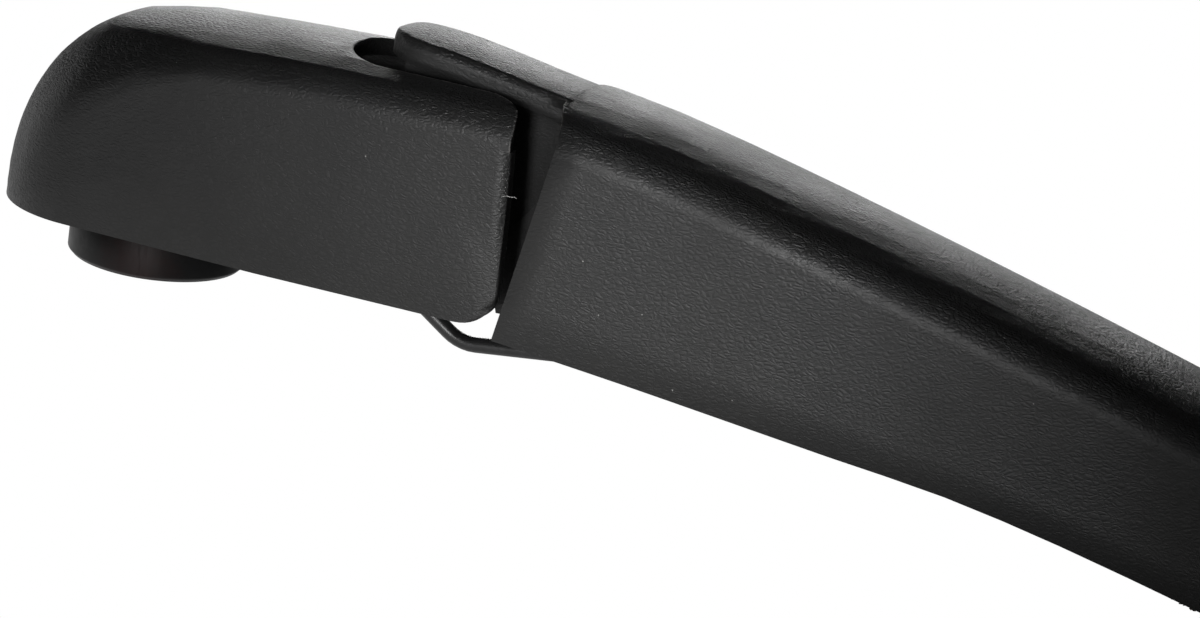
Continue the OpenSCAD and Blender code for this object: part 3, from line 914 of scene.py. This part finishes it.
@dataclass(frozen=True)
class Lamp:
    """A rectangular softbox, with or without a grid."""

    name: str
    place: Vector
    size: tuple
    power: float
    aim: Vector
    spread: float = 180.0

    def build(self) -> None:
        """Hangs the lamp."""
        data = bpy.data.lights.new(self.name, "AREA")
        data.shape = "RECTANGLE"
        data.size, data.size_y = self.size
        data.energy = self.power
        data.spread = math.radians(self.spread)
        lamp = bpy.data.objects.new(self.name, data)
        turn = (self.place - self.aim).to_track_quat("Z", "Y").to_matrix().to_4x4()
        lamp.matrix_world = Matrix.Translation(self.place) @ turn
        bpy.context.scene.collection.objects.link(lamp)


@dataclass
class Studio:
    """Camera, lights, floor and world."""

    azimuth: float = 18.0
    elevation: float = 16.5
    roll: float = -8.54
    distance: float = 0.45
    lens: float = 119.58
    sensor: float = 36.0
    shift_right: float = 50.11 * MM
    shift_up: float = -5.957 * MM
    floor_z: float = -35.3 * MM
    floor_size: float = 6.0
    glow_from: float = 0.0
    glow_to: float = 0.1
    glow_end: float = 0.03
    glow: float = 0.8
    floor_shade: float = 0.7
    dim: float = 0.012
    lamps: Sequence[Lamp] = field(default_factory=lambda: (
        Lamp("back", mm(-170, 620, 135), (0.5, 0.14), 0.125, mm(40, 0, 20), 42.0),
        Lamp("front", mm(62, -320, 40), (0.06, 0.2), 0.038, mm(54, 0, 2), 26.0),
        Lamp("left", mm(-560, 120, 90), (0.5, 0.2), 0.2, mm(40, 0, 0)),
        Lamp("tail", mm(235, -330, 110), (0.05, 0.05), 0.012, mm(222, 0, -30), 22.0),
        Lamp("top", mm(-40, -60, 520), (0.4, 0.3), 0.02, mm(20, 0, 20), 70.0)))

    def camera(self) -> None:
        """Places the camera at the photograph's viewing angle."""
        az, el, ro = (math.radians(v) for v in (self.azimuth, self.elevation, self.roll))
        back = Vector((math.sin(az) * math.cos(el), -math.cos(az) * math.cos(el), math.sin(el)))
        level = Vector((math.cos(az), math.sin(az), 0.0))
        upright = back.cross(level)
        right = math.cos(ro) * level - math.sin(ro) * upright
        up = math.sin(ro) * level + math.cos(ro) * upright
        data = bpy.data.cameras.new("camera")
        data.lens = self.lens
        data.sensor_width = self.sensor
        data.sensor_fit = "HORIZONTAL"
        data.clip_start = 0.01
        data.clip_end = 20.0
        camera = bpy.data.objects.new("camera", data)
        turn = Matrix((right, up, back)).transposed().to_4x4()
        place = self.distance * back + self.shift_right * right + self.shift_up * up
        camera.matrix_world = Matrix.Translation(place) @ turn
        bpy.context.scene.collection.objects.link(camera)
        bpy.context.scene.camera = camera

    def seen(self, g: Graph) -> bpy.types.NodeSocket:
        """How white the floor shows: 1 to the camera and through glass, and fading along X in a gloss."""
        path = g.add("ShaderNodeLightPath")
        split = g.add("ShaderNodeSeparateXYZ")
        g.join(g.place, split.inputs[0])
        fade = g.ramp(split.outputs["X"], self.glow_from, self.glow_to, 1.0, self.glow_end)
        gloss = g.math("MULTIPLY", g.math("MULTIPLY", path.outputs["Is Glossy Ray"], fade), self.glow)
        total = g.math("ADD", path.outputs["Is Camera Ray"], gloss)
        return g.math("ADD", total, path.outputs["Is Transmission Ray"], True)

    def floor(self) -> None:
        """Adds the pale floor, which shows white to the camera and throws light back up at the part."""
        bm = bmesh.new()
        bmesh.ops.create_grid(bm, x_segments=2, y_segments=2, size=self.floor_size)
        bmesh.ops.translate(bm, verts=bm.verts, vec=Vector((0.0, 0.0, self.floor_z)))
        piece = wrap("studio_floor", bm)
        g = Graph("floor_white")
        g.shader.inputs["Base Color"].default_value = grey(self.floor_shade)
        g.shader.inputs["Roughness"].default_value = 0.9
        glow = g.add("ShaderNodeEmission")
        glow.inputs["Strength"].default_value = 1.0
        mix = g.add("ShaderNodeMixShader")
        g.join(self.seen(g), mix.inputs[0])
        g.join(g.shader.outputs["BSDF"], mix.inputs[1])
        g.join(glow.outputs[0], mix.inputs[2])
        g.join(mix.outputs[0], g.output.inputs["Surface"])
        piece.data.materials.append(g.material)

    def world(self) -> None:
        """Sets a soft world that shows white to the camera."""
        world = bpy.data.worlds.new("studio")
        world.use_nodes = True
        tree = world.node_tree
        tree.nodes.clear()
        output = tree.nodes.new("ShaderNodeOutputWorld")
        path = tree.nodes.new("ShaderNodeLightPath")
        dim = tree.nodes.new("ShaderNodeBackground")
        dim.inputs["Color"].default_value = (1.0, 1.0, 1.0, 1.0)
        dim.inputs["Strength"].default_value = self.dim
        white = tree.nodes.new("ShaderNodeBackground")
        white.inputs["Color"].default_value = (1.0, 1.0, 1.0, 1.0)
        white.inputs["Strength"].default_value = 1.0
        mix = tree.nodes.new("ShaderNodeMixShader")
        tree.links.new(path.outputs["Is Camera Ray"], mix.inputs[0])
        tree.links.new(dim.outputs[0], mix.inputs[1])
        tree.links.new(white.outputs[0], mix.inputs[2])
        tree.links.new(mix.outputs[0], output.inputs["Surface"])
        bpy.context.scene.world = world

    def build(self) -> None:
        """Builds the whole studio."""
        self.camera()
        self.floor()
        self.world()
        for lamp in self.lamps:
            lamp.build()
        bpy.context.scene.view_settings.view_transform = "Standard"


def main() -> None:
    """Builds every sub-assembly in order."""
    logging.basicConfig(level=logging.INFO, format="%(message)s")
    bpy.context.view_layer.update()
    for part in (Studio(), HeadCasting(), Pins(), SpringAndLink(), HeadCover(), ArmBeam(), Scraps()):
        LOG.info("building %s", type(part).__name__)
        part.build()


if __name__ == "__main__":
    main()
